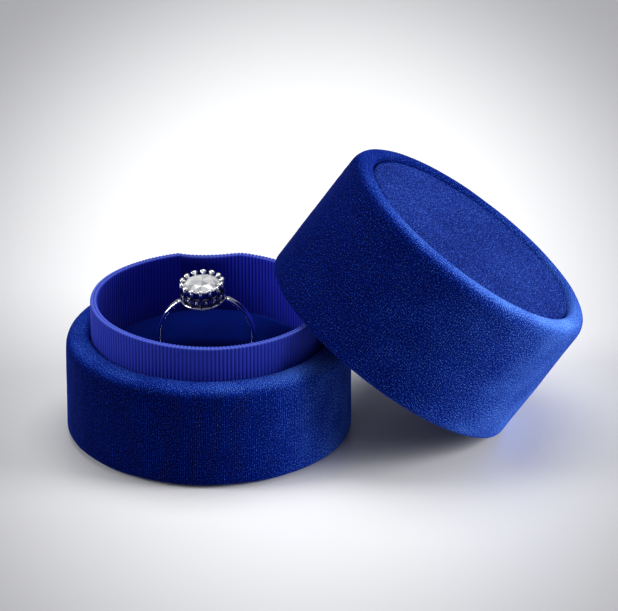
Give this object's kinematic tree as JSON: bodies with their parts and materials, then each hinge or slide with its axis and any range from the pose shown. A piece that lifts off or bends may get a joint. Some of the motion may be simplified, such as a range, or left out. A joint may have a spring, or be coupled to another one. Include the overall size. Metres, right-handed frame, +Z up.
{
  "type": "ring box",
  "caption": "Round velvet-covered ring box: a drum base with a ribbon-wrapped collar, a slit cushion holding a standing ring, and a loose lift-off lid that leans on the base.",
  "frame": {"origin": "centre of the flat disc under the base, on the surface that the box stands on", "axes": "+X from the base towards the leaning lid, +Z up along the base's axis, +Y along the ring's finger hole"},
  "size_m": [0.0997, 0.0592, 0.0536],
  "materials": {
    "velvet": "royal blue short-pile velvet",
    "ribbon": "cobalt grosgrain ribbon, ribs upright",
    "card": "grey board",
    "moulding": "moulded, matt",
    "foam": "soft foam",
    "silver": "polished white metal",
    "stone": "clear round brilliant"
  },
  "bodies": {
    "base": {"base_foot_disc": "velvet", "base_velvet_wrap": "velvet", "base_shell": "moulding", "collar_card": "card", "collar_ribbon": "ribbon", "collar_lining": "ribbon", "cushion_board": "card", "cushion_foam_front": "foam", "cushion_foam_rear": "foam", "cushion_cover_front": "velvet", "cushion_cover_rear": "velvet"},
    "lid": {"lid_velvet_wrap": "velvet", "lid_shell": "moulding", "lid_sleeve": "card", "lid_lining": "velvet", "lid_ceiling_foam": "foam", "lid_ceiling_cover": "velvet", "lid_top_board": "card", "lid_top_velvet": "velvet"},
    "ring": {"ring_shank": "silver", "ring_head": "silver", "ring_stone": "stone"}
  },
  "joints": [
    {"name": "lid_lift", "type": "slide", "parent": "base", "child": "lid", "axis": [0.5875, 0.0452, 0.808], "range_m": [0, 0.05]},
    {"name": "ring_lift", "type": "slide", "parent": "base", "child": "ring", "axis": [-0.0611, -0.1216, 0.9907], "range_m": [0, 0.025]}
  ]
}
